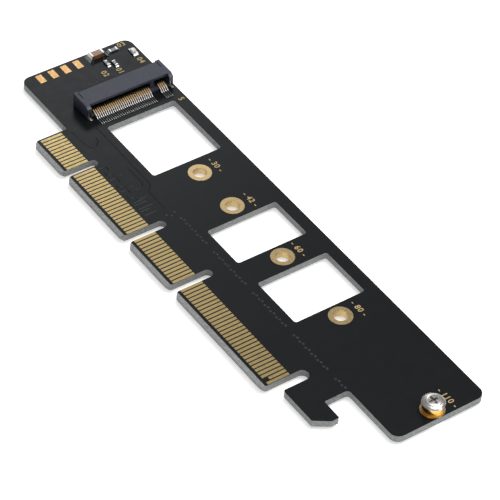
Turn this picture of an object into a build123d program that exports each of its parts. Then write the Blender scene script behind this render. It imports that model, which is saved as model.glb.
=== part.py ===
from build123d import *
import os

os.makedirs("parts", exist_ok=True)

# An adapter card that holds one solid-state drive and plugs into a 16-lane edge slot.
# Millimetres. X runs along the edge contacts, Y from the contacts' ends to the card's top
# edge, Z out of the component side. The origin is under the middle of the card, on the
# surface that it lies on.

# Board
board_thickness = 1.6
board_height = 36.0
key_to_left = 31.1
key_to_right = 96.6
left_shoulder = 8.25
right_shoulder = 13.85
corner_radius = 2.0
inner_radius = 0.4
shoulder_radius = 0.9
tab_corner = 1.3
bevel_length = 0.7
bevel_depth = 0.4
plating = 0.05

# Edge contacts
contact_pitch = 1.0
contact_width = 0.7
contact_length = 5.2
contact_inset = 1.4
short_contact = 4.1
key_gap = 3.0
tab_pins = [(1, 11), (12, 32), (35, 49), (52, 82)]
short_pins = {"front": 81, "back": 1}

# Notches and hook
edge_margin = 0.05
first_margin = 0.45
last_margin = 0.1
key_notch_width = 1.9
key_notch_depth = 8.2
notch_depth = 9.95
hook_notch_width = 2.7
hook_inset = 3.0
hook_foot = 9.45
hook_slope_length = 2.15
hook_slope_height = 3.2
hook_barb = 8.05
hook_neck = 6.65
hook_corner = 0.3
hook_heel = 0.5

# Drive: its centre line, the stop in the socket and the lengths that the card takes
drive_line = 24.65
key_to_stop = 15.976
drive_lengths = {"30": 30.0, "42": 42.0, "60": 60.0, "80": 80.0, "110": 110.0}
hole_radius = 1.5
ring_radius = 2.55

# Windows
window_top_rail = 2.95
window_height = 17.25
window_radius = 0.6
window_first_start = 7.7
window_after_ring = 1.08
window_before_ring = 0.63
window_first_before_ring = 1.63

# Bare pads
pad_length = 2.65
pad_width = 1.5
pad_pitch = 3.165
pad_inset = 0.65
pads_from_top = 14.25
pad_count = 4

# Drive socket
socket_end_margin = 1.7
socket_height = 3.2
socket_wall = 1.0
socket_wall_reach = 3.45
socket_wall_back = 2.35
wall_chamfer_length = 0.9
wall_chamfer_height = 0.6
roof_thickness = 0.65
roof_back = 2.05
groove_length = 1.9
groove_width = 0.2
groove_depth = 0.3
groove_inset = 0.9
groove_setback = 0.2
stop_clearance = 0.12
back_wall = 1.25
back_relief = 0.95
back_slot_depth = 1.15
floor_lift = 0.15
floor_height = 0.75
floor_reach = 3.55
floor_slot_start = 1.0
socket_key_offset = 6.125
socket_key_width = 1.0
socket_key_setback = 0.15

# Contacts of the socket
spring_pitch = 0.5
spring_width = 0.22
spring_thickness = 0.13
spring_clearance = 0.04
lower_steps = 36
upper_steps = 37
keyed_out = range(29, 33)
lower_tail_reach = 6.4
lower_tail = 2.0
lower_rise_end = 2.7
lower_rise_height = 0.65
lower_apex = 4.6
lower_apex_height = 1.42
lower_tip = 5.4
lower_tip_height = 1.02
upper_tail_back = 2.35
upper_riser_inset = 0.05
upper_beam_height = 2.5
upper_end_reach = 1.9
upper_end_height = 2.25

# Pegs and hold-downs of the socket
peg_radii = (0.5, 0.75)
peg_inset = 0.95
peg_length = 1.2
peg_clearance = 0.05
peg_setback = 1.0
hold_down_width = 0.55
hold_down_thickness = 0.2
hold_down_height = 1.5
hold_down_foot = 1.3
hold_down_setback = 0.25
hold_down_clearance = 0.03

# Chip parts: middle from the card's left end and top edge, size, length of each metal cap, how far
# the solder reaches beyond the caps, and the width and sideways shift of pads wider than the chip
capacitor = dict(
    from_left=1.75, from_top=9.35, along_y=True,
    length=3.2, width=1.7, height=1.15, cap=0.5, solder=0.85, pad_width=2.5, pad_shift=0.25,
)
resistor_1 = dict(
    from_left=5.95, from_top=7.25, along_y=False,
    length=1.6, width=0.8, height=0.45, cap=0.3, solder=0.42,
)
resistor_2 = dict(
    from_left=5.05, from_top=8.75, along_y=False,
    length=1.6, width=0.8, height=0.45, cap=0.3, solder=0.42,
)
resistor_3 = dict(
    from_left=1.9, from_top=5.1, along_y=True,
    length=2.0, width=1.0, height=0.42, cap=0.35, solder=0.5,
)
led = dict(
    from_left=4.6, from_top=1.6, along_y=False,
    length=2.0, width=1.25, height=0.35, cap=0.35, solder=0.4,
)
end_skin = 0.04
solder_rise = 0.8
lens_length = 1.3
lens_height = 0.5
lens_taper = 12

# Standoff and its screws
standoff_radius = 2.2
standoff_height = 1.8
standoff_chamfer = 0.15
boss_length = 1.5
boss_clearance = 0.05
thread_radius = 1.0
thread_clearance = 0.02
screw_head_radius = 2.42
screw_head_height = 0.75
screw_head_rim = 0.3
screw_crown_radius = 1.6
screw_length = 1.4
recess_span = 2.2
recess_width = 0.55
recess_depth = 0.4

# Levels, from the surface that the card lies on
back_z = screw_head_height + plating
top_z = back_z + board_thickness
tab_end = -board_height / 2
top_edge = board_height / 2

# Places along the card
key_x = (key_to_left - key_to_right) / 2
left_edge = key_x - key_to_left
right_edge = key_x + key_to_right
stop_x = key_x - key_to_stop
drive_y = tab_end + drive_line
hole_xs = {name: stop_x + length for name, length in drive_lengths.items()}


def contact_x(pin):
    """Centre of an edge contact: eleven lie left of the key notch."""
    last_left = tab_pins[0][1]
    if pin <= last_left:
        return key_x - key_gap / 2 - (last_left - pin) * contact_pitch
    return key_x + key_gap / 2 + (pin - last_left - 1) * contact_pitch


# Tab edges and the notches between the tabs
tab_left = contact_x(tab_pins[0][0]) - contact_width / 2 - first_margin
tab_right = contact_x(tab_pins[-1][1]) + contact_width / 2 + last_margin
key_notch_left = contact_x(tab_pins[0][1]) + contact_width / 2 + edge_margin
notches = [(key_notch_left, key_notch_left + key_notch_width, key_notch_depth)]
for (_, last), (first, _) in zip(tab_pins[1:], tab_pins[2:]):
    start = contact_x(last) + contact_width / 2 + edge_margin
    end = contact_x(first) - contact_width / 2 - edge_margin
    notches.append((start, end, notch_depth))
hook_left = tab_right + hook_notch_width
notches.append((tab_right, hook_left, notch_depth))

# Hook outline, from the notch round to the right shoulder
hook_bottom = tab_end + hook_inset
hook_foot_end = hook_left + hook_foot
hook_tip = hook_foot_end + hook_slope_length
hook_top = tab_end + hook_barb
neck_x = hook_left + hook_neck

# Windows lie between the socket and the rings of the drilled holes
window_top = top_edge - window_top_rail
window_mid_y = window_top - window_height / 2
windows = [
    (stop_x + window_first_start, hole_xs["30"] - ring_radius - window_first_before_ring),
    (hole_xs["42"] + ring_radius + window_after_ring, hole_xs["60"] - ring_radius - window_before_ring),
    (hole_xs["60"] + ring_radius + window_after_ring, hole_xs["80"] - ring_radius - window_before_ring),
]

# Socket places
socket_length = upper_steps * spring_pitch + 2 * socket_end_margin
cavity_back = stop_x - stop_clearance
roof_z = top_z + socket_height
roof_reach = socket_wall_reach - wall_chamfer_length
wall_mid = socket_length / 2 - socket_wall / 2
peg_x = cavity_back + peg_setback
peg_offset = socket_length / 2 - peg_inset
spring_slot = spring_width + 2 * spring_clearance
hold_down_x = stop_x + socket_wall_reach - hold_down_setback - hold_down_thickness

# The board: one routed plate
with BuildPart() as circuit_board:
    with BuildSketch(Plane.XY.offset(back_z)) as outline:
        with BuildLine():
            FilletPolyline(
                (left_edge, tab_end + left_shoulder),
                (tab_left, tab_end + left_shoulder),
                (tab_left, tab_end),
                ((tab_right + hook_left) / 2, tab_end),
                ((tab_right + hook_left) / 2, hook_bottom),
                (hook_foot_end, hook_bottom),
                (hook_tip, hook_bottom + hook_slope_height),
                (hook_tip, hook_top),
                (neck_x, hook_top),
                (neck_x, tab_end + right_shoulder),
                (right_edge, tab_end + right_shoulder),
                (right_edge, top_edge),
                (left_edge, top_edge),
                radius=[
                    corner_radius,
                    inner_radius,
                    tab_corner,
                    0,
                    0,
                    hook_corner,
                    hook_corner,
                    hook_corner,
                    inner_radius,
                    shoulder_radius,
                    corner_radius,
                    corner_radius,
                    corner_radius,
                ],
                close=True,
            )
        make_face()
        for start, end, depth in notches:
            width = end - start
            with Locations(((start + end) / 2, tab_end)):
                SlotCenterToCenter(2 * depth - width, width, rotation=90, mode=Mode.SUBTRACT)
        notch_mouths = outline.vertices().group_by(Axis.Y)[0].sort_by(Axis.X)[1:]
        fillet(notch_mouths, radius=tab_corner)
        fillet(outline.vertices().sort_by_distance((hook_left, hook_bottom))[0], radius=hook_heel)
        for start, end in windows:
            with Locations(((start + end) / 2, window_mid_y)):
                RectangleRounded(end - start, window_height, window_radius, mode=Mode.SUBTRACT)
        with Locations([(x, drive_y) for x in hole_xs.values()]):
            Circle(hole_radius + plating, mode=Mode.SUBTRACT)
        for side, radius in zip((-1, 1), peg_radii):
            with Locations((peg_x, drive_y + side * peg_offset)):
                Circle(radius + peg_clearance, mode=Mode.SUBTRACT)
    extrude(amount=board_thickness)
    with BuildSketch(Plane.YZ.offset(left_edge)):
        for face_z, inward in ((top_z, -1), (back_z, 1)):
            with BuildLine():
                Polyline(
                    (tab_end, face_z),
                    (tab_end + bevel_length, face_z),
                    (tab_end, face_z + inward * bevel_depth),
                    close=True,
                )
            make_face()
    extrude(amount=right_edge - left_edge, mode=Mode.SUBTRACT)
circuit_board.part.label = "circuit_board"
export_step(circuit_board.part, "parts/circuit_board.step")

# Edge contacts: gold fingers on both faces of each tab, one of them short on each face
for side, face_z in (("front", top_z), ("back", back_z - plating)):
    for number, (first, last) in enumerate(tab_pins, start=1):
        with BuildPart() as contacts:
            with BuildSketch(Plane.XY.offset(face_z)):
                for pin in range(first, last + 1):
                    length = short_contact if pin == short_pins[side] else contact_length
                    top = tab_end + contact_inset + contact_length
                    with Locations((contact_x(pin), top - length / 2)):
                        Rectangle(contact_width, length)
            extrude(amount=plating)
        contacts.part.label = f"{side}_contacts_{number}"
        export_step(contacts.part, f"parts/{side}_contacts_{number}.step")

# Plated holes for the standoff: a ring on each face, joined by the barrel
for name, x in hole_xs.items():
    with BuildPart() as plated_hole:
        for face_z in (top_z, back_z - plating):
            with BuildSketch(Plane.XY.offset(face_z)):
                with Locations((x, drive_y)):
                    Circle(ring_radius)
                    Circle(hole_radius, mode=Mode.SUBTRACT)
            extrude(amount=plating)
        with BuildSketch(Plane.XY.offset(back_z)):
            with Locations((x, drive_y)):
                Circle(hole_radius + plating)
                Circle(hole_radius, mode=Mode.SUBTRACT)
        extrude(amount=board_thickness)
    plated_hole.part.label = f"plated_hole_{name}"
    export_step(plated_hole.part, f"parts/plated_hole_{name}.step")

# Bare pads at the left end
with BuildPart() as bare_pads:
    with BuildSketch(Plane.XY.offset(top_z)):
        for index in range(pad_count):
            pad_y = top_edge - pads_from_top - index * pad_pitch
            with Locations((left_edge + pad_inset + pad_length / 2, pad_y)):
                Rectangle(pad_length, pad_width)
    extrude(amount=plating)
bare_pads.part.label = "bare_pads"
export_step(bare_pads.part, "parts/bare_pads.step")


def spring_ys(steps):
    """Places of a row of socket contacts, with the key's stretch left out."""
    return [drive_y + (i - steps / 2) * spring_pitch for i in range(steps + 1) if i not in keyed_out]


lower_ys = spring_ys(lower_steps)
upper_ys = spring_ys(upper_steps)

# Socket housing: one moulding, open towards the drive, with a slot for each contact
with BuildPart() as socket_housing:
    with BuildSketch(Plane.XZ.offset(-drive_y)):
        with BuildLine():
            Polyline(
                (cavity_back - back_wall, top_z + floor_lift),
                (stop_x + floor_reach, top_z + floor_lift),
                (stop_x + floor_reach, top_z + floor_height),
                (cavity_back, top_z + floor_height),
                (cavity_back, roof_z - roof_thickness),
                (stop_x + roof_reach, roof_z - roof_thickness),
                (stop_x + roof_reach, roof_z),
                (stop_x - roof_back, roof_z),
                (stop_x - roof_back, top_z + back_relief),
                (cavity_back - back_wall, top_z + back_relief),
                close=True,
            )
        make_face()
    extrude(amount=socket_length / 2 - socket_wall, both=True)
    # End walls, each with a slot at its front for a hold-down
    for side in (-1, 1):
        with BuildSketch(Plane.XZ.offset(-drive_y - side * wall_mid)):
            with BuildLine():
                Polyline(
                    (stop_x - socket_wall_back, top_z),
                    (stop_x + socket_wall_reach, top_z),
                    (stop_x + socket_wall_reach, roof_z - wall_chamfer_height),
                    (stop_x + roof_reach, roof_z),
                    (stop_x - socket_wall_back, roof_z),
                    close=True,
                )
            make_face()
        extrude(amount=socket_wall / 2, both=True)
        with BuildSketch(Plane.XY.offset(top_z)):
            slot_start = hold_down_x - hold_down_clearance
            slot_length = stop_x + socket_wall_reach - slot_start
            with Locations((slot_start + slot_length / 2, drive_y + side * wall_mid)):
                Rectangle(slot_length, hold_down_width + 2 * hold_down_clearance)
        extrude(amount=hold_down_height + hold_down_clearance, mode=Mode.SUBTRACT)
    # Key post between the two stretches of contacts
    with BuildSketch(Plane.XY.offset(top_z + floor_height)):
        key_length = stop_x + roof_reach - socket_key_setback - cavity_back
        with Locations((cavity_back + key_length / 2, drive_y + socket_key_offset)):
            Rectangle(key_length, socket_key_width)
    extrude(amount=socket_height - roof_thickness - floor_height)
    # Combs: slots in the floor for the lower row, and down the back wall for the upper row
    with BuildSketch(Plane.XY.offset(top_z + floor_lift)):
        slot_length = floor_reach - floor_slot_start
        with Locations([(stop_x + floor_slot_start + slot_length / 2, y) for y in lower_ys]):
            Rectangle(slot_length, spring_slot)
    extrude(amount=floor_height - floor_lift, mode=Mode.SUBTRACT)
    with BuildSketch(Plane.XY.offset(top_z + floor_lift)):
        with Locations([(cavity_back - back_slot_depth / 2, y) for y in upper_ys]):
            Rectangle(back_slot_depth, spring_slot)
    extrude(amount=socket_height - roof_thickness - floor_lift, mode=Mode.SUBTRACT)
    # Grooves in the top, one at each end
    with BuildSketch(Plane.XY.offset(roof_z)):
        groove_x = stop_x - roof_back + groove_setback + groove_length / 2
        groove_y = socket_length / 2 - groove_inset
        with Locations((groove_x, drive_y - groove_y), (groove_x, drive_y + groove_y)):
            Rectangle(groove_length, groove_width)
    extrude(amount=-groove_depth, mode=Mode.SUBTRACT)
    # Pegs that place the housing on the board
    for side, radius in zip((-1, 1), peg_radii):
        with BuildSketch(Plane.XY.offset(top_z + floor_lift)):
            with Locations((peg_x, drive_y + side * peg_offset)):
                Circle(radius)
        extrude(amount=-floor_lift - peg_length)
socket_housing.part.label = "socket_housing"
export_step(socket_housing.part, "parts/socket_housing.step")

# Lower contacts: flat on their pads, up through the floor to an arch under the drive's edge
with BuildPart() as socket_lower_contacts:
    tail_end = stop_x + lower_tail_reach
    with BuildSketch(*[Plane.XZ.offset(-y) for y in lower_ys]):
        with BuildLine():
            Polyline(
                (tail_end, top_z),
                (tail_end - lower_tail, top_z),
                (tail_end - lower_rise_end, top_z + lower_rise_height),
                (tail_end - lower_apex, top_z + lower_apex_height),
                (tail_end - lower_tip, top_z + lower_tip_height),
            )
            offset(amount=spring_thickness, side=Side.RIGHT, kind=Kind.INTERSECTION)
        make_face()
    extrude(amount=spring_width / 2, both=True)
socket_lower_contacts.part.label = "socket_lower_contacts"
export_step(socket_lower_contacts.part, "parts/socket_lower_contacts.step")

# Upper contacts: from a tail behind the housing up its back wall, then forward under the roof
with BuildPart() as socket_upper_contacts:
    riser_x = cavity_back - back_slot_depth + upper_riser_inset
    with BuildSketch(*[Plane.XZ.offset(-y) for y in upper_ys]):
        with BuildLine():
            Polyline(
                (stop_x - upper_tail_back, top_z + spring_thickness),
                (riser_x, top_z + spring_thickness),
                (riser_x, top_z + upper_beam_height),
                (stop_x + upper_end_reach, top_z + upper_end_height),
            )
            offset(amount=spring_thickness, side=Side.RIGHT, kind=Kind.INTERSECTION)
        make_face()
    extrude(amount=spring_width / 2, both=True)
socket_upper_contacts.part.label = "socket_upper_contacts"
export_step(socket_upper_contacts.part, "parts/socket_upper_contacts.step")

# Hold-downs: bent strips in the end walls, soldered to the board by their feet
with BuildPart() as socket_hold_downs:
    for side in (-1, 1):
        with BuildSketch(Plane.XZ.offset(-drive_y - side * wall_mid)):
            with BuildLine():
                Polyline(
                    (hold_down_x, top_z),
                    (hold_down_x + hold_down_foot, top_z),
                    (hold_down_x + hold_down_foot, top_z + hold_down_thickness),
                    (hold_down_x + hold_down_thickness, top_z + hold_down_thickness),
                    (hold_down_x + hold_down_thickness, top_z + hold_down_height),
                    (hold_down_x, top_z + hold_down_height),
                    close=True,
                )
            make_face()
        extrude(amount=hold_down_width / 2, both=True)
socket_hold_downs.part.label = "socket_hold_downs"
export_step(socket_hold_downs.part, "parts/socket_hold_downs.step")


def chip(
    body_name, ends_name, from_left, from_top, along_y, length, width, height, cap, solder,
    pad_width=0, pad_shift=0,
):
    """A block between two metal caps, with solder from each cap down to the board."""
    centre = (left_edge + from_left, top_edge - from_top, top_z)
    base = Plane(origin=centre, x_dir=(0, 1, 0) if along_y else (1, 0, 0), z_dir=(0, 0, 1))
    with BuildPart() as body:
        with BuildSketch(base.offset(end_skin)):
            Rectangle(length - 2 * end_skin, width - 2 * end_skin)
        extrude(amount=height - 2 * end_skin)
    body.part.label = body_name
    export_step(body.part, f"parts/{body_name}.step")
    with BuildPart() as ends:
        for side in (-1, 1):
            with BuildSketch(base):
                with Locations((side * (length - cap) / 2, 0)):
                    Rectangle(cap, width)
            extrude(amount=height)
            if pad_width:
                with BuildSketch(base):
                    with Locations((side * (length + solder - cap) / 2, -pad_shift)):
                        Rectangle(cap + solder, pad_width)
                extrude(amount=end_skin)
            solder_start = base.origin - base.y_dir * pad_shift
            with BuildSketch(Plane(origin=solder_start, x_dir=base.x_dir, z_dir=-base.y_dir)):
                with BuildLine():
                    Polyline(
                        (side * length / 2, 0),
                        (side * (length / 2 + solder), 0),
                        (side * (length / 2 + solder / 3), solder_rise * height / 3),
                        (side * length / 2, solder_rise * height),
                        close=True,
                    )
                make_face()
            extrude(amount=max(width, pad_width) / 2, both=True)
        add(body.part, mode=Mode.SUBTRACT)
    ends.part.label = ends_name
    export_step(ends.part, f"parts/{ends_name}.step")
    return base


chip("capacitor_body", "capacitor_ends", **capacitor)
chip("resistor_1_body", "resistor_1_ends", **resistor_1)
chip("resistor_2_body", "resistor_2_ends", **resistor_2)
chip("resistor_3_body", "resistor_3_ends", **resistor_3)
led_plane = chip("led_base", "led_ends", **led)

# Lamp lens: a clear block moulded on the lamp's base, between its caps
with BuildPart() as led_lens:
    with BuildSketch(led_plane.offset(led["height"] - end_skin)):
        Rectangle(lens_length, led["width"] - 2 * end_skin)
    extrude(amount=lens_height, taper=lens_taper)
led_lens.part.label = "led_lens"
export_step(led_lens.part, "parts/led_lens.step")

# Standoff: its boss goes down the plated hole, and a tapped bore runs right through
standoff_x = hole_xs["110"]
standoff_seat = top_z + plating
with BuildPart() as standoff:
    with BuildSketch(Plane.XY.offset(standoff_seat)):
        with Locations((standoff_x, drive_y)):
            Circle(standoff_radius)
    extrude(amount=standoff_height)
    chamfer(standoff.edges().group_by(Axis.Z)[-1], length=standoff_chamfer)
    with BuildSketch(Plane.XY.offset(standoff_seat)):
        with Locations((standoff_x, drive_y)):
            Circle(hole_radius - boss_clearance)
    extrude(amount=-boss_length)
    with BuildSketch(Plane.XY.offset(standoff_seat - boss_length)):
        with Locations((standoff_x, drive_y)):
            Circle(thread_radius)
    extrude(amount=boss_length + standoff_height, mode=Mode.SUBTRACT)
standoff.part.label = "standoff"
export_step(standoff.part, "parts/standoff.step")


def screw(name, seat_z, up):
    """A screw with a low head and a cross recess, its head on a seat and facing up or down."""
    seat = (standoff_x, drive_y, seat_z)
    shank_radius = thread_radius - thread_clearance
    with BuildPart() as fastener:
        with BuildSketch(Plane(origin=seat, x_dir=(1, 0, 0), z_dir=(0, -up, 0))):
            with BuildLine():
                Polyline(
                    (0, screw_head_height),
                    (0, -screw_length),
                    (shank_radius, -screw_length),
                    (shank_radius, 0),
                    (screw_head_radius, 0),
                    (screw_head_radius, screw_head_rim),
                    (screw_crown_radius, screw_head_height),
                    close=True,
                )
            make_face()
        revolve(axis=Axis(seat, (0, 0, 1)))
        with BuildSketch(Plane(origin=seat, x_dir=(1, 0, 0), z_dir=(0, 0, up)).offset(screw_head_height)):
            Rectangle(recess_span, recess_width)
            Rectangle(recess_width, recess_span)
        extrude(amount=-recess_depth, mode=Mode.SUBTRACT)
    fastener.part.label = name
    export_step(fastener.part, f"parts/{name}.step")


screw("drive_screw", standoff_seat + standoff_height, 1)
screw("standoff_screw", back_z - plating, -1)
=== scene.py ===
import bmesh
import bpy
import math
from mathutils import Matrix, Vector


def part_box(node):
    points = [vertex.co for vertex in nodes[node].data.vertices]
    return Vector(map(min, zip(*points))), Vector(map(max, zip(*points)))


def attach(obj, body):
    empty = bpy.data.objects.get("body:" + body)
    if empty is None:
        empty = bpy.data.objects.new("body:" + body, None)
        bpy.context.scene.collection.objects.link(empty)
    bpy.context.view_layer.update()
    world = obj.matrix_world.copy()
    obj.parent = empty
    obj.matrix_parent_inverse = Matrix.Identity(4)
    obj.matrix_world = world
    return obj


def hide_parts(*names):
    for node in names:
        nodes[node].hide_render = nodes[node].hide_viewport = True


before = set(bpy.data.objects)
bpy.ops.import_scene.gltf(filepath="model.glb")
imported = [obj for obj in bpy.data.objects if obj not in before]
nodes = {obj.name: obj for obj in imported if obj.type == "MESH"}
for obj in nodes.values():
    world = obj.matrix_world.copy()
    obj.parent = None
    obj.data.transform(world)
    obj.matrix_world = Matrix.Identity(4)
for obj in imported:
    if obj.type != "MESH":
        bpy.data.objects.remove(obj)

bpy.ops.object.select_all(action="DESELECT")
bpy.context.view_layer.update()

# Circuit board: one routed plate of glass-fibre laminate under a black, satin solder mask. The cut
# walls and the bevelled tab ends are bare laminate, so the finish tells them by their direction.
MM = 0.001
board_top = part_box("circuit_board")[1].z
mask_black = (0.0035, 0.0038, 0.0046, 1)
mask_over_copper = (0.0050, 0.0054, 0.0064, 1)
mask_sheen = (0.86, 0.92, 1.0, 1)
laminate_grey = (0.58, 0.59, 0.585, 1)
laminate_dark = (0.08, 0.085, 0.085, 1)
laminate_roughness = 0.75
ply_scale = 2400.0
ply_squeeze = (1.0, 1.0, 1.6)
noise_low, noise_high = 0.3, 0.7
grain_fineness = 9.0
grain_height = 0.03 * MM
square_on = 0.9

# A Mix node keeps the sockets for each kind of data side by side, so they go by number
mix_colour_a, mix_colour_b, mixed_colour = 6, 7, 2
mix_number_a, mix_number_b = 2, 3


def node_group(name, inputs, outputs):
    """An empty shader group with named sockets, each a (name, kind, value) or a (name, kind)."""
    group = bpy.data.node_groups.new(name, "ShaderNodeTree")
    for label, kind, value in inputs:
        socket = group.interface.new_socket(label, in_out="INPUT", socket_type="NodeSocket" + kind)
        socket.default_value = value
    for label, kind in outputs:
        group.interface.new_socket(label, in_out="OUTPUT", socket_type="NodeSocket" + kind)
    group.nodes.new("NodeGroupInput").name = "In"
    group.nodes.new("NodeGroupOutput").name = "Out"
    return group


def add(tree, kind, **settings):
    """A new node, with its properties and the values of its input sockets set by name."""
    node = tree.nodes.new("ShaderNode" + kind)
    for key, value in settings.items():
        if hasattr(node, key):
            setattr(node, key, value)
        else:
            node.inputs[key.replace("_", " ")].default_value = value
    return node


def wire(tree, *links):
    """Join sockets. Each link is a node, its output, the next node and its input."""
    for source, output, target, entry in links:
        tree.links.new(source.outputs[output], target.inputs[entry])


# Speckle: uneven tone and a fine grain, as moulded, plated and coated surfaces have
speckle = node_group(
    "speckle",
    [("Tone", "Color", (0.5, 0.5, 0.5, 1)), ("Other tone", "Color", (0.6, 0.6, 0.6, 1)),
     ("Size", "Float", 1.0), ("Roughness", "Float", 0.4), ("Roughness spread", "Float", 0.1),
     ("Grain", "Float", 0.1), ("Squeeze", "Vector", (1, 1, 1))],
    [("Color", "Color"), ("Roughness", "Float"), ("Normal", "Vector")],
)
inside, outside = speckle.nodes["In"], speckle.nodes["Out"]
place = add(speckle, "TexCoord")
squeezed = add(speckle, "VectorMath", operation="MULTIPLY")
cloud = add(speckle, "TexNoise", Detail=3.0, Roughness=0.6)
grain = add(speckle, "TexNoise", Detail=2.0)
grain_scale = add(speckle, "Math", operation="MULTIPLY")
grain_scale.inputs[1].default_value = grain_fineness
tone = add(speckle, "Mix", data_type="RGBA")
rough_low = add(speckle, "Math", operation="SUBTRACT")
rough_high = add(speckle, "Math", operation="ADD")
rough_spread = add(speckle, "MapRange", From_Min=noise_low, From_Max=noise_high)
bump = add(speckle, "Bump", Distance=grain_height)
wire(
    speckle,
    (place, "Object", squeezed, 0),
    (inside, "Squeeze", squeezed, 1),
    (squeezed, 0, cloud, "Vector"),
    (squeezed, 0, grain, "Vector"),
    (inside, "Size", cloud, "Scale"),
    (inside, "Size", grain_scale, 0),
    (grain_scale, 0, grain, "Scale"),
    (cloud, 0, tone, 0),
    (inside, "Tone", tone, mix_colour_a),
    (inside, "Other tone", tone, mix_colour_b),
    (inside, "Roughness", rough_low, 0),
    (inside, "Roughness spread", rough_low, 1),
    (inside, "Roughness", rough_high, 0),
    (inside, "Roughness spread", rough_high, 1),
    (grain, 0, rough_spread, "Value"),
    (rough_low, 0, rough_spread, "To Min"),
    (rough_high, 0, rough_spread, "To Max"),
    (inside, "Grain", bump, "Strength"),
    (grain, 0, bump, "Height"),
    (tone, mixed_colour, outside, "Color"),
    (rough_spread, 0, outside, "Roughness"),
    (bump, 0, outside, "Normal"),
)


def surface(name, tone, other_tone, size, roughness, spread, grain, squeeze=(1, 1, 1), **sockets):
    """A material of one finish: a Principled shader, with its own sockets set, fed by the speckle."""
    material = bpy.data.materials.new(name)
    material.use_nodes = True
    tree = material.node_tree
    shader = tree.nodes["Principled BSDF"]
    for key, value in sockets.items():
        shader.inputs[key.replace("_", " ")].default_value = value
    speckled = add(tree, "Group", node_tree=speckle)
    speckled.name = "speckled"
    for label, value in (
        ("Tone", tone), ("Other tone", other_tone), ("Size", size), ("Roughness", roughness),
        ("Roughness spread", spread), ("Grain", grain), ("Squeeze", squeeze),
    ):
        speckled.inputs[label].default_value = value
    wire(
        tree,
        (speckled, "Color", shader, "Base Color"),
        (speckled, "Roughness", shader, "Roughness"),
        (speckled, "Normal", shader, "Normal"),
    )
    return material


def dress(node_name, material):
    """Give a node carried over from the frame its finish."""
    mesh = nodes[node_name].data
    mesh.materials.clear()
    mesh.materials.append(material)


board_finish = surface(
    "black_mask", mask_black, mask_over_copper, size=60.0, roughness=0.36, spread=0.02, grain=0.05,
    Specular_IOR_Level=0.2, Specular_Tint=mask_sheen,
)
board_tree = board_finish.node_tree
board_shader = board_tree.nodes["Principled BSDF"]
mask = board_tree.nodes["speckled"]
facing = add(board_tree, "NewGeometry")
split = add(board_tree, "SeparateXYZ")
up_or_down = add(board_tree, "Math", operation="ABSOLUTE")
is_face = add(board_tree, "Math", operation="GREATER_THAN")
is_face.inputs[1].default_value = square_on
wall_place = add(board_tree, "TexCoord")
wall_squeeze = add(board_tree, "Mapping", Scale=ply_squeeze)
plies = add(board_tree, "TexNoise", Scale=ply_scale, Detail=4.0)
wall_tone = add(board_tree, "Mix", data_type="RGBA")
wall_tone.inputs[mix_colour_a].default_value = laminate_dark
wall_tone.inputs[mix_colour_b].default_value = laminate_grey
colour = add(board_tree, "Mix", data_type="RGBA")
rough = add(board_tree, "Mix", data_type="FLOAT")
rough.inputs[mix_number_a].default_value = laminate_roughness
wire(
    board_tree,
    (facing, "Normal", split, 0),
    (split, "Z", up_or_down, 0),
    (up_or_down, 0, is_face, 0),
    (wall_place, "Object", wall_squeeze, 0),
    (wall_squeeze, 0, plies, "Vector"),
    (plies, 0, wall_tone, 0),
    (is_face, 0, colour, 0),
    (wall_tone, mixed_colour, colour, mix_colour_a),
    (mask, "Color", colour, mix_colour_b),
    (is_face, 0, rough, 0),
    (mask, "Roughness", rough, mix_number_b),
    (colour, mixed_colour, board_shader, "Base Color"),
    (rough, 0, board_shader, "Roughness"),
)
dress("circuit_board", board_finish)

# Edge contacts, pads and plated holes: copper bonded to the laminate and plated with gold, satin all
# over. The pads are redder and the hole rings paler than the contacts.
contact_gold = surface(
    "contact_gold", (0.43, 0.33, 0.15, 1), (0.51, 0.395, 0.19, 1), size=150.0, roughness=0.34,
    spread=0.05, grain=0.10, Metallic=1.0,
)
pad_gold = surface(
    "pad_gold", (0.47, 0.285, 0.12, 1), (0.54, 0.34, 0.15, 1), size=200.0, roughness=0.34,
    spread=0.05, grain=0.10, Metallic=1.0,
)
hole_gold = surface(
    "hole_gold", (0.51, 0.375, 0.18, 1), (0.60, 0.45, 0.235, 1), size=200.0, roughness=0.30,
    spread=0.05, grain=0.10, Metallic=0.9,
)
for name in nodes:
    if "_contacts_" in name:
        dress(name, contact_gold)
    if name.startswith("plated_hole"):
        dress(name, hole_gold)
dress("bare_pads", pad_gold)

# Drive socket: a black moulding of heat-proof plastic. Its edges are a little round from the mould,
# so a merged copy of the frame's solid gets narrow bevels.
sharp_edge = math.radians(40)
smooth_edge = math.radians(35)
flat_edge = math.radians(1)
merge_distance = 0.001 * MM
housing_rounding = 0.05 * MM


def only(obj):
    """Select one object alone and make it the active one."""
    bpy.ops.object.select_all(action="DESELECT")
    obj.select_set(True)
    bpy.context.view_layer.objects.active = obj


def finish(obj, name, material, stands_for=(), smooth=smooth_edge):
    """Name a finished piece, put its place in its mesh, and give it its finish, body and slot."""
    only(obj)
    bpy.ops.object.transform_apply(location=True, rotation=True, scale=True)
    obj.name = obj.data.name = name
    obj.data.materials.clear()
    obj.data.materials.append(material)
    bpy.ops.object.shade_smooth_by_angle(angle=smooth)
    # The large faces lead the shading, so that only the rounded edges look round
    shading = obj.modifiers.new("shading", "WEIGHTED_NORMAL")
    shading.keep_sharp = True
    bpy.ops.object.modifier_apply(modifier="shading")
    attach(obj, "root")
    if stands_for:
        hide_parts(*stands_for)


def round_edges(obj, width, segments=2):
    """Round the sharp edges of a piece."""
    only(obj)
    rounding = obj.modifiers.new("rounding", "BEVEL")
    rounding.width = width
    rounding.segments = segments
    rounding.limit_method = "ANGLE"
    rounding.angle_limit = sharp_edge
    bpy.ops.object.modifier_apply(modifier="rounding")


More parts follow.
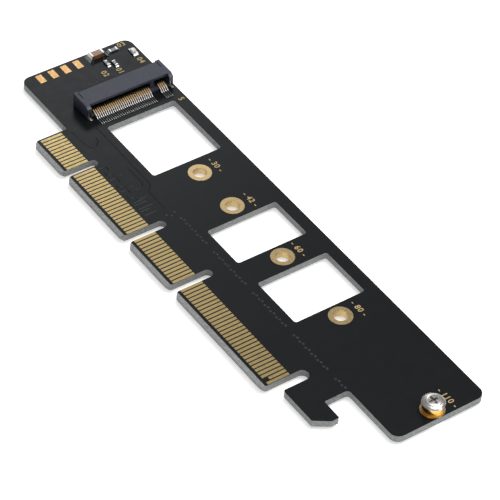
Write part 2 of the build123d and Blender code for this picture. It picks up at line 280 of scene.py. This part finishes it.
def merged_copy(node_name):
    """A copy of a frame solid as one closed mesh, with its flat faces whole again."""
    copy = nodes[node_name].copy()
    copy.data = nodes[node_name].data.copy()
    bpy.context.collection.objects.link(copy)
    only(copy)
    bpy.ops.object.mode_set(mode="EDIT")
    bpy.ops.mesh.select_all(action="SELECT")
    bpy.ops.mesh.remove_doubles(threshold=merge_distance)
    bpy.ops.mesh.dissolve_limited(angle_limit=flat_edge)
    bpy.ops.object.mode_set(mode="OBJECT")
    return copy


socket_black = surface(
    "socket_black", (0.010, 0.011, 0.018, 1), (0.022, 0.024, 0.038, 1), size=350.0, roughness=0.50,
    spread=0.06, grain=0.35, Specular_IOR_Level=0.95, Specular_Tint=(0.82, 0.88, 1.0, 1),
)
housing = merged_copy("socket_housing")
round_edges(housing, housing_rounding)
finish(housing, "socket_moulding", socket_black, ["socket_housing"])

# Socket contacts: two rows of strips, stamped from spring bronze, bent and plated. The lower row is
# soldered by its tails in front of the socket, the upper row behind it. The lower tails are tinned.
strip_width = 0.18 * MM
strip_thickness = 0.13 * MM
strip_bend = 0.28 * MM
bend_segments = 3
strip_tip_share = 0.7
same_place = 0.0001 * MM
micron = 0.001 * MM

# Each leg is a run along X and a rise, in millimetres, from the tail's cut end to the tip
lower_legs = [(-2.0, 0.0), (-0.7, 0.65), (-1.9, 0.77), (-0.8, -0.4)]
upper_legs = [(1.05, 0.0), (0.0, 2.37), (3.20, -0.25)]

# The tin thickens between these two distances from the lower tails' cut ends
tinned_tone = (0.32, 0.317, 0.31, 1)
tin_starts = 3.1 * MM
tin_covers = 2.2 * MM


def pick(obj, kind, test):
    """In edit mode, select the edges or faces (EDGE or FACE) that pass a test."""
    bpy.ops.mesh.select_mode(type=kind)
    bpy.ops.mesh.select_all(action="DESELECT")
    shape = bmesh.from_edit_mesh(obj.data)
    for item in {"EDGE": shape.edges, "FACE": shape.faces}[kind]:
        item.select_set(test(item))
    shape.select_flush(True)
    bmesh.update_edit_mesh(obj.data)


def joined(pieces):
    """Several pieces as one mesh."""
    bpy.ops.object.select_all(action="DESELECT")
    for piece in pieces:
        piece.select_set(True)
    bpy.context.view_layer.objects.active = pieces[0]
    bpy.ops.object.join()
    return bpy.context.object


def row_places(node_name):
    """Where the strips of a row stand, read from the sides of the frame's strips."""
    sides = sorted({round(v.co.y / micron) for v in nodes[node_name].data.vertices})
    return [(a + b) / 2 * micron for a, b in zip(sides[::2], sides[1::2])]


def bent_strip(start, legs, thickness_side):
    """A strip from its tail's cut end: run after run along X and Z, with round bends between."""
    first = Vector((legs[0][0] * MM, 0, 0))
    bpy.ops.mesh.primitive_plane_add(size=1, location=start + first / 2)
    strip = bpy.context.object
    strip.scale = (abs(first.x), strip_width, 1)
    bpy.ops.object.transform_apply(location=True, rotation=True, scale=True)
    bpy.ops.object.mode_set(mode="EDIT")
    far = (start + first).x
    pick(strip, "EDGE", lambda edge: all(abs(v.co.x - far) < same_place for v in edge.verts))
    for run, rise in legs[1:]:
        bpy.ops.mesh.extrude_region_move(TRANSFORM_OT_translate={"value": (run * MM, 0, rise * MM)})
    bpy.ops.transform.resize(value=(1, strip_tip_share, 1), center_override=start)
    pick(strip, "EDGE", lambda edge: len(edge.link_faces) == 2)
    bpy.ops.mesh.bevel(offset=strip_bend, segments=bend_segments, affect="EDGES")
    bpy.ops.object.mode_set(mode="OBJECT")
    wall = strip.modifiers.new("wall", "SOLIDIFY")
    wall.thickness = strip_thickness
    wall.offset = thickness_side
    bpy.ops.object.modifier_apply(modifier="wall")
    return strip


def copied_row(piece, places):
    """One mesh of copies of a piece that stands at Y 0, one at each place."""
    copies = []
    for y in places:
        only(piece)
        bpy.ops.object.duplicate_move(TRANSFORM_OT_translate={"value": (0, y, 0)})
        copies.append(bpy.context.object)
    bpy.data.objects.remove(piece)
    return joined(copies)


lower_tail = Vector((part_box("socket_lower_contacts")[1].x, 0, board_top))
upper_tail = Vector((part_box("socket_upper_contacts")[0].x, 0, board_top + strip_thickness))
contact_metal = surface(
    "contact_metal", (0.20, 0.132, 0.066, 1), (0.27, 0.184, 0.096, 1), size=600.0, roughness=0.26,
    spread=0.05, grain=0.1, Metallic=1.0,
)
contact_tree = contact_metal.node_tree
along = add(contact_tree, "TexCoord")
along_x = add(contact_tree, "SeparateXYZ")
tinned = add(
    contact_tree, "MapRange", From_Min=lower_tail.x - tin_starts, From_Max=lower_tail.x - tin_covers
)
tail_tone = add(contact_tree, "Mix", data_type="RGBA")
tail_tone.inputs[mix_colour_b].default_value = tinned_tone
wire(
    contact_tree,
    (along, "Object", along_x, 0),
    (along_x, "X", tinned, "Value"),
    (tinned, 0, tail_tone, 0),
    (contact_tree.nodes["speckled"], "Color", tail_tone, mix_colour_a),
    (tail_tone, mixed_colour, contact_tree.nodes["Principled BSDF"], "Base Color"),
)
lower_row = copied_row(bent_strip(lower_tail, lower_legs, 1), row_places("socket_lower_contacts"))
finish(lower_row, "lower_contact_row", contact_metal, ["socket_lower_contacts"])
upper_row = copied_row(bent_strip(upper_tail, upper_legs, -1), row_places("socket_upper_contacts"))
finish(upper_row, "upper_contact_row", contact_metal, ["socket_upper_contacts"])

# Hold-downs: two angles stamped from sheet metal and tinned. One sits in each end wall of the socket
# and is soldered to the board.
hold_down_rounding = 0.06 * MM
tin = surface(
    "tin", (0.28, 0.28, 0.27, 1), (0.40, 0.40, 0.39, 1), size=900.0, roughness=0.36, spread=0.08,
    grain=0.15, Metallic=1.0,
)
hold_downs = merged_copy("socket_hold_downs")
round_edges(hold_downs, hold_down_rounding)
finish(hold_downs, "hold_down_angles", tin, ["socket_hold_downs"])

# Chip parts: fired ceramic blocks and a moulded lamp base. Each end is dipped in metal, and solder
# runs down from it in a hollow curve to the pad.
brown_ceramic = surface(
    "brown_ceramic", (0.17, 0.072, 0.026, 1), (0.27, 0.112, 0.04, 1), size=900.0, roughness=0.25,
    spread=0.08, grain=0.2,
)
grey_glaze = surface(
    "grey_glaze", (0.10, 0.10, 0.105, 1), (0.16, 0.16, 0.165, 1), size=900.0, roughness=0.22,
    spread=0.05, grain=0.05,
)
lamp_white = surface(
    "lamp_white", (0.62, 0.60, 0.54, 1), (0.70, 0.68, 0.63, 1), size=900.0, roughness=0.45,
    spread=0.05, grain=0.1,
)
solder_tin = surface(
    "solder_tin", (0.36, 0.37, 0.36, 1), (0.62, 0.62, 0.61, 1), size=700.0, roughness=0.30,
    spread=0.10, grain=0.4, Metallic=1.0,
)
solder_smooth = math.radians(60)
cap_skin = 0.04 * MM

# Each step of the solder has its share of the reach, and how far it lowers the face before it
solder_steps = [(0.08, 0.90), (0.12, 0.72), (0.18, 0.62), (0.24, 0.58), (0.24, 0.60), (0.14, 0.40)]

# Each chip has its body's node and slot, its finish, the length of a dipped end and its rounding
chips = {
    "capacitor": ("body", "ceramic", brown_ceramic, 0.5 * MM, 0.10 * MM),
    "resistor_1": ("body", "resistor_glaze", grey_glaze, 0.3 * MM, 0.05 * MM),
    "resistor_2": ("body", "resistor_glaze", grey_glaze, 0.3 * MM, 0.05 * MM),
    "resistor_3": ("body", "resistor_glaze", grey_glaze, 0.35 * MM, 0.05 * MM),
    "led": ("base", "lamp_plastic", lamp_white, 0.35 * MM, 0.05 * MM),
}


def soldered_end(body_box, ends_box, axis, side, cap):
    """One dipped end and its solder: a block whose outer face is drawn out, down and wider."""
    low, high = body_box
    outer = (high if side > 0 else low)[axis] + side * cap_skin
    across = 1 - axis
    size = Vector((0, 0, ends_box[1].z - board_top))
    size[axis] = cap
    size[across] = high[across] - low[across] + 2 * cap_skin
    centre = Vector((0, 0, board_top + size.z / 2))
    centre[axis] = outer - side * cap / 2
    centre[across] = (high[across] + low[across]) / 2
    bpy.ops.mesh.primitive_cube_add(size=1, location=centre)
    end = bpy.context.object
    end.scale = size
    bpy.ops.object.transform_apply(location=True, rotation=True, scale=True)
    reach = abs((ends_box[1] if side > 0 else ends_box[0])[axis] - outer)
    pad_middle = (ends_box[0][across] + ends_box[1][across]) / 2
    widening = ((ends_box[1][across] - ends_box[0][across]) / size[across]) ** (1 / len(solder_steps))
    bpy.ops.object.mode_set(mode="EDIT")
    pick(end, "FACE", lambda face: face.normal[axis] * side > square_on)
    for share, lowering in solder_steps:
        step = Vector((0, 0, 0))
        step[axis] = side * reach * share / sum(s for s, _ in solder_steps)
        step[across] = (pad_middle - centre[across]) / len(solder_steps)
        bpy.ops.mesh.extrude_region_move(TRANSFORM_OT_translate={"value": step})
        scale = Vector((1, 1, lowering))
        scale[across] = widening
        pivot = Vector((0, 0, board_top))
        pivot[across] = pad_middle
        bpy.ops.transform.resize(value=scale, center_override=pivot)
    bpy.ops.object.mode_set(mode="OBJECT")
    return end


for chip_name, (part, slot, material, cap, rounding) in chips.items():
    body_node, ends_node = f"{chip_name}_{part}", f"{chip_name}_ends"
    body_box, ends_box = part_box(body_node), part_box(ends_node)
    block = merged_copy(body_node)
    round_edges(block, rounding / 2)
    finish(block, f"{chip_name}_block", material, [body_node])
    span = ends_box[1] - ends_box[0]
    axis = 0 if span.x > span.y else 1
    dipped = joined([soldered_end(body_box, ends_box, axis, side, cap) for side in (1, -1)])
    round_edges(dipped, rounding)
    flow = dipped.modifiers.new("flow", "SUBSURF")
    flow.levels = flow.render_levels = 1
    bpy.ops.object.modifier_apply(modifier="flow")
    finish(dipped, f"{chip_name}_solder", solder_tin, [ends_node], smooth=solder_smooth)

# Lamp lens: a block of milky resin, cast on the lamp's base between its two metal ends. Its edges
# are widely rounded.
lens_rounding = 0.16 * MM
milky_resin = surface(
    "lamp_resin", (0.88, 0.79, 0.73, 1), (0.93, 0.87, 0.82, 1), size=900.0, roughness=0.25,
    spread=0.05, grain=0.05, Subsurface_Weight=0.2,
)
lens = merged_copy("led_lens")
round_edges(lens, lens_rounding, segments=4)
finish(lens, "lamp_dome", milky_resin, ["led_lens"])

# Standoff: a sleeve turned from brass bar, with fine upright streaks on its side. It stands on the
# last plated hole with its boss in it, and a screw from below holds it.
standoff_rounding = 0.06 * MM
upright_streaks = (1, 1, 0.04)
brass = surface(
    "brass", (0.76, 0.39, 0.06, 1), (0.98, 0.60, 0.15, 1), size=1500.0, roughness=0.25, spread=0.08,
    grain=0.5, squeeze=upright_streaks, Metallic=1.0,
)
sleeve = merged_copy("standoff")
round_edges(sleeve, standoff_rounding)
finish(sleeve, "brass_sleeve", brass, ["standoff"])

# Screws: low heads, formed in steel and nickel plated, with a raised rim round a flat crown. The
# cross for the driver is pressed in and narrows towards its bottom.
screw_sides = 64
screw_smooth = math.radians(30)
recess_arm = 1.4 * MM
recess_half_width = 0.30 * MM
recess_depth = 0.85 * MM
recess_taper = 0.5

# Radius and height above the head's seat, in millimetres, from the shank's end to the crown
screw_profile = [
    (0.93, -1.40), (0.98, -1.34), (0.98, 0.0), (2.34, 0.0), (2.42, 0.07), (2.42, 0.24), (2.36, 0.32),
    (2.05, 0.47), (1.84, 0.58), (1.76, 0.60), (1.70, 0.57), (1.60, 0.66), (1.42, 0.72), (0.60, 0.75),
]
head_height = screw_profile[-1][1] * MM


def turned(seat, profile, sides, up):
    """A turned shape on an upright axis: a disc, drawn up through its profile's radii and heights."""
    radius, height = profile[0]
    bpy.ops.mesh.primitive_circle_add(
        vertices=sides, radius=radius * MM, fill_type="NGON",
        location=seat + Vector((0, 0, up * height * MM)),
    )
    piece = bpy.context.object
    bpy.ops.object.transform_apply(location=True, rotation=True, scale=True)
    bpy.ops.object.mode_set(mode="EDIT")
    bpy.ops.mesh.select_mode(type="FACE")
    bpy.ops.mesh.select_all(action="SELECT")
    for next_radius, next_height in profile[1:]:
        rise = Vector((0, 0, up * (next_height - height) * MM))
        bpy.ops.mesh.extrude_region_move(TRANSFORM_OT_translate={"value": rise})
        share = next_radius / radius
        bpy.ops.transform.resize(value=(share, share, 1), center_override=seat)
        radius, height = next_radius, next_height
    bpy.ops.mesh.select_all(action="SELECT")
    bpy.ops.mesh.normals_make_consistent(inside=False)
    bpy.ops.object.mode_set(mode="OBJECT")
    return piece


def cross_cutter(top, up):
    """The driver's tip: a square block with four arms, narrower at its end."""
    bpy.ops.mesh.primitive_cube_add(size=2 * recess_half_width, location=top)
    cutter = bpy.context.object
    cutter.scale.z = recess_depth / recess_half_width
    bpy.ops.object.transform_apply(location=True, rotation=True, scale=True)
    bpy.ops.object.mode_set(mode="EDIT")
    arm = recess_arm - recess_half_width
    for way in (Vector((1, 0, 0)), Vector((-1, 0, 0)), Vector((0, 1, 0)), Vector((0, -1, 0))):
        side = top + way * recess_half_width
        pick(cutter, "FACE", lambda face: face.normal.dot(way) > square_on
             and (face.calc_center_median() - side).length < same_place)
        bpy.ops.mesh.extrude_region_move(TRANSFORM_OT_translate={"value": way * arm})
    pick(cutter, "FACE", lambda face: face.normal.z * up < -square_on)
    bpy.ops.transform.resize(value=(recess_taper, recess_taper, 1), center_override=top)
    bpy.ops.object.mode_set(mode="OBJECT")
    return cutter


nickel = surface(
    "nickel", (0.54, 0.52, 0.495, 1), (0.68, 0.66, 0.63, 1), size=900.0, roughness=0.28, spread=0.06,
    grain=0.3, Metallic=1.0,
)
for node_name, up in (("drive_screw", 1), ("standoff_screw", -1)):
    low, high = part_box(node_name)
    crown = Vector(((low.x + high.x) / 2, (low.y + high.y) / 2, high.z if up > 0 else low.z))
    seat = crown - Vector((0, 0, up * head_height))
    screw = turned(seat, screw_profile, screw_sides, up)
    cutter = cross_cutter(crown, up)
    only(screw)
    recess = screw.modifiers.new("recess", "BOOLEAN")
    recess.object = cutter
    recess.solver = "EXACT"
    bpy.ops.object.modifier_apply(modifier="recess")
    bpy.data.objects.remove(cutter)
    finish(screw, f"{node_name}_turned", nickel, [node_name], smooth=screw_smooth)

# Traces and filled holes: copper under the mask, which it lifts by a few hundredths of a millimetre.
# The traces wind up from the second tab past the edges of copper planes, and the filled holes stand
# in a line above the tabs.
relief_smooth = math.radians(70)
trace_radius = 0.15 * MM
trace_flatness = 0.42

# Places on the board are in millimetres from here: below the key notch's middle, 9 from the tabs' edge
datum = Vector((-32.75 * MM, -27.0 * MM, board_top))
meander_y = 16.2
stub_y = 16.4

# A winding trace goes up in these steps, and each has its own X and length of last leg
meander = [
    (0.0, 1.3), (0.35, 0.35), (0.7, 0.0), (0.35, -0.35), (0.0, -0.5), (0.35, -0.35), (0.7, 0.0),
    (0.35, 0.35), (0.0, 0.5), (0.35, 0.35), (0.7, 0.0),
]
meanders = [(2.0, 1.6), (6.2, 1.85), (10.4, 2.1)]

# A straight trace has its X and its length, and the edge of a copper plane its start and its steps
stubs = [(14.6, 2.4), (15.4, 2.9), (16.8, 3.4), (17.6, 2.4), (19.0, 2.9)]
plane_edges = [
    ((-4.0, 17.0), [(0, 2.2), (-1.6, 1.8), (-1.2, 0)]),
    ((-11.0, 17.6), [(6.2, 0.6), (0.8, 0.9)]),
    ((-12.0, 22.9), [(23.5, 0.0), (1.8, -1.6), (6.0, 0.0)]),
    ((5.0, 21.6), [(5.5, 0.0), (0.9, -0.9), (0.0, -1.6)]),
]

# Each step of a hole's rim is its rise, in rim heights, and how far it narrows
dome_radius = 0.34 * MM
dome_height = 0.06 * MM
dome_sides = 12
dome_steps = [(1.0, 0.88), (0.35, 0.80), (-0.45, 0.60), (-0.3, 0.5)]

# The holes stand in pairs along a line, where one place in seven is free, and a few stand alone
pair_start = (24.0, 22.6)
pair_pitch = 2.0
pair_offset = (0.425, 0.12)
pair_places = 29
places_in_turn = 7
free_place = 5
lone_holes = [
    (21.2, 20.4), (22.0, 21.3), (21.3, 22.4), (-22.2, 27.6), (-22.2, 29.2), (-22.2, 31.0), (-22.2, 32.6),
]
relief_mask = surface(
    "mask_on_copper", mask_black, mask_over_copper, size=60.0, roughness=0.30, spread=0.02, grain=0.05,
    Specular_IOR_Level=0.28, Specular_Tint=mask_sheen,
)
ring_mask = surface(
    "mask_on_rings", (0.016, 0.017, 0.020, 1), (0.030, 0.032, 0.036, 1), size=600.0, roughness=0.34,
    spread=0.04, grain=0.1, Specular_IOR_Level=0.3, Specular_Tint=mask_sheen,
)


def on_board(x, y):
    """A point on the board's top, from its place in millimetres."""
    return datum + Vector((x, y, 0)) * MM


def trace(start, legs):
    """A copper trace: a point drawn out leg by leg, then given a low round section."""
    bpy.ops.mesh.primitive_plane_add(size=trace_radius, location=start)
    bpy.ops.object.transform_apply(location=True, rotation=True, scale=True)
    bpy.ops.object.mode_set(mode="EDIT")
    bpy.ops.mesh.select_all(action="SELECT")
    bpy.ops.mesh.merge(type="CENTER")
    bpy.ops.mesh.select_mode(type="VERT")
    bpy.ops.mesh.select_all(action="SELECT")
    for x, y in legs:
        bpy.ops.mesh.extrude_region_move(TRANSFORM_OT_translate={"value": (x * MM, y * MM, 0)})
    bpy.ops.object.mode_set(mode="OBJECT")
    bpy.ops.object.convert(target="CURVE")
    path = bpy.context.object
    path.data.bevel_depth = trace_radius
    path.data.bevel_resolution = 1
    path.data.use_fill_caps = True
    bpy.ops.object.convert(target="MESH")
    bpy.ops.object.mode_set(mode="EDIT")
    bpy.ops.mesh.select_all(action="SELECT")
    bpy.ops.transform.resize(value=(1, 1, trace_flatness), center_override=start)
    bpy.ops.mesh.normals_make_consistent(inside=False)
    bpy.ops.object.mode_set(mode="OBJECT")
    return bpy.context.object


def low_dome(x, y):
    """A filled hole under the mask: a disc drawn up into a low rim round a dimple."""
    base = on_board(x, y) - Vector((0, 0, dome_height / 2))
    bpy.ops.mesh.primitive_circle_add(
        vertices=dome_sides, radius=dome_radius, fill_type="NGON", location=base
    )
    dome = bpy.context.object
    bpy.ops.object.transform_apply(location=True, rotation=True, scale=True)
    bpy.ops.object.mode_set(mode="EDIT")
    bpy.ops.mesh.select_all(action="SELECT")
    for rise, share in dome_steps:
        bpy.ops.mesh.extrude_region_move(TRANSFORM_OT_translate={"value": (0, 0, rise * dome_height)})
        bpy.ops.transform.resize(value=(share, share, 1), center_override=base)
    bpy.ops.mesh.select_all(action="SELECT")
    bpy.ops.mesh.normals_make_consistent(inside=False)
    bpy.ops.object.mode_set(mode="OBJECT")
    return dome


routes = [((x, meander_y), meander + [(0.0, last)]) for x, last in meanders]
routes += plane_edges
routes += [((x, stub_y), [(0.0, length)]) for x, length in stubs]
ridges = joined([trace(on_board(*start), legs) for start, legs in routes])
finish(ridges, "mask_ridges", relief_mask, smooth=relief_smooth)
paired_holes = [
    (pair_start[0] + pair_pitch * i + side * pair_offset[0], pair_start[1] + side * pair_offset[1])
    for i in range(pair_places) if i % places_in_turn != free_place for side in (-1, 1)
]
domes = joined([low_dome(x, y) for x, y in paired_holes + lone_holes])
finish(domes, "masked_hole_domes", ring_mask, smooth=relief_smooth)

# Printed marks: thin gold-coloured print on the mask. Each hole has its distance from the socket,
# between two dashes, and the socket and the chip parts have plain numbers.
print_height = 0.012 * MM
print_boldness = 0.02 * MM
letter_spacing = 1.1
curve_steps = 3

# Digits are this share of the size that a font is set to
digit_height = 1.3 * MM
font_digit_share = 0.70
print_gold = surface(
    "print_gold", (0.50, 0.36, 0.15, 1), (0.58, 0.43, 0.20, 1), size=300.0, roughness=0.55,
    spread=0.05, grain=0.1,
)

# Each mark has its middle, in millimetres, and its turn in degrees
marks = [
    ("- 30 -", 13.7, 37.85, 0), ("- 42 -", 26.4, 37.95, 0), ("- 60 -", 43.9, 37.75, 0),
    ("- 80 -", 64.3, 38.0, 0), ("- 110 -", 93.25, 37.95, 0), ("5", -7.85, 43.6, 0),
    ("01", -22.6, 37.45, 0), ("02", -23.45, 34.1, 0), ("03", -30.0, 42.55, 90), ("04", -23.3, 43.3, 0),
]
lettering = []
for text, x, y, turn in marks:
    bpy.ops.object.text_add(location=on_board(x, y), rotation=(0, 0, math.radians(turn)))
    mark = bpy.context.object
    mark.data.body = text
    mark.data.size = digit_height / font_digit_share
    mark.data.align_x = "CENTER"
    mark.data.align_y = "CENTER"
    mark.data.extrude = print_height
    mark.data.offset = print_boldness
    mark.data.space_character = letter_spacing
    mark.data.resolution_u = curve_steps
    bpy.ops.object.convert(target="MESH")
    lettering.append(bpy.context.object)
finish(joined(lettering), "printed_numbers", print_gold)

# Stage: a white table that the card lies on. It shows white to the camera and to shiny metal, and
# keeps the card's shadow.
table_size = 4.0
table_gap = 0.02 * MM
table_white = (0.92, 0.92, 0.92, 1)
table_roughness = 0.9
table_glow = 0.55
studio_light = 0.30
white = (1, 1, 1, 1)
bpy.ops.mesh.primitive_plane_add(size=table_size, location=(0, 0, -table_gap))
table = bpy.context.object
table.name = "table"
table_paint = bpy.data.materials.new("white_table")
table_paint.use_nodes = True
table_tree = table_paint.node_tree
table_shader = table_tree.nodes["Principled BSDF"]
table_shader.inputs["Base Color"].default_value = table_white
table_shader.inputs["Roughness"].default_value = table_roughness
table_shader.inputs["Specular IOR Level"].default_value = 0.0
table_shader.inputs["Emission Color"].default_value = white
seen_by = add(table_tree, "LightPath")
seen = add(table_tree, "Math", operation="MAXIMUM")
glow = add(table_tree, "Math", operation="MULTIPLY")
glow.inputs[1].default_value = table_glow
wire(
    table_tree,
    (seen_by, "Is Camera Ray", seen, 0),
    (seen_by, "Is Glossy Ray", seen, 1),
    (seen, 0, glow, 0),
    (glow, 0, table_shader, "Emission Strength"),
)
table.data.materials.append(table_paint)

studio = bpy.data.worlds.new("studio")
bpy.context.scene.world = studio
studio.use_nodes = True
background = studio.node_tree.nodes["Background"]
background.inputs["Color"].default_value = white
background.inputs["Strength"].default_value = studio_light


def lamp(name, place, target, size, power):
    """A square soft light that faces a point."""
    bpy.ops.object.light_add(type="AREA", location=place)
    light = bpy.context.object
    light.name = name
    light.data.size = size
    light.data.energy = power
    light.rotation_euler = (Vector(target) - Vector(place)).to_track_quat("-Z", "Y").to_euler()


lamp("key_light", place=(0.10, 0.18, 0.60), target=(0, 0, 0), size=0.50, power=2.9)
lamp("far_panel", place=(-0.55, 0.31, 0.40), target=(-0.05, 0, 0), size=0.16, power=0.42)
lamp("near_fill", place=(0.30, -0.34, 0.22), target=(0, 0, 0), size=0.25, power=0.26)
lamp("side_strip", place=(0.42, 0.28, 0.34), target=(0, 0, 0), size=0.10, power=0.35)

# Camera: a long lens above the card's screw end, looking back along it. Its place was fitted to the
# card's contacts, key notch and holes.
camera_place = (0.32663, -0.24684, 0.38703)
camera_turn = (46.4589, -3.0626, 55.0654)
lens_length = 197.4
bpy.ops.object.camera_add(location=camera_place, rotation=[math.radians(a) for a in camera_turn])
camera = bpy.context.object
camera.data.lens = lens_length
camera.data.clip_start = 0.01
camera.data.clip_end = 20.0
bpy.context.scene.camera = camera
bpy.context.scene.view_settings.view_transform = "Standard"
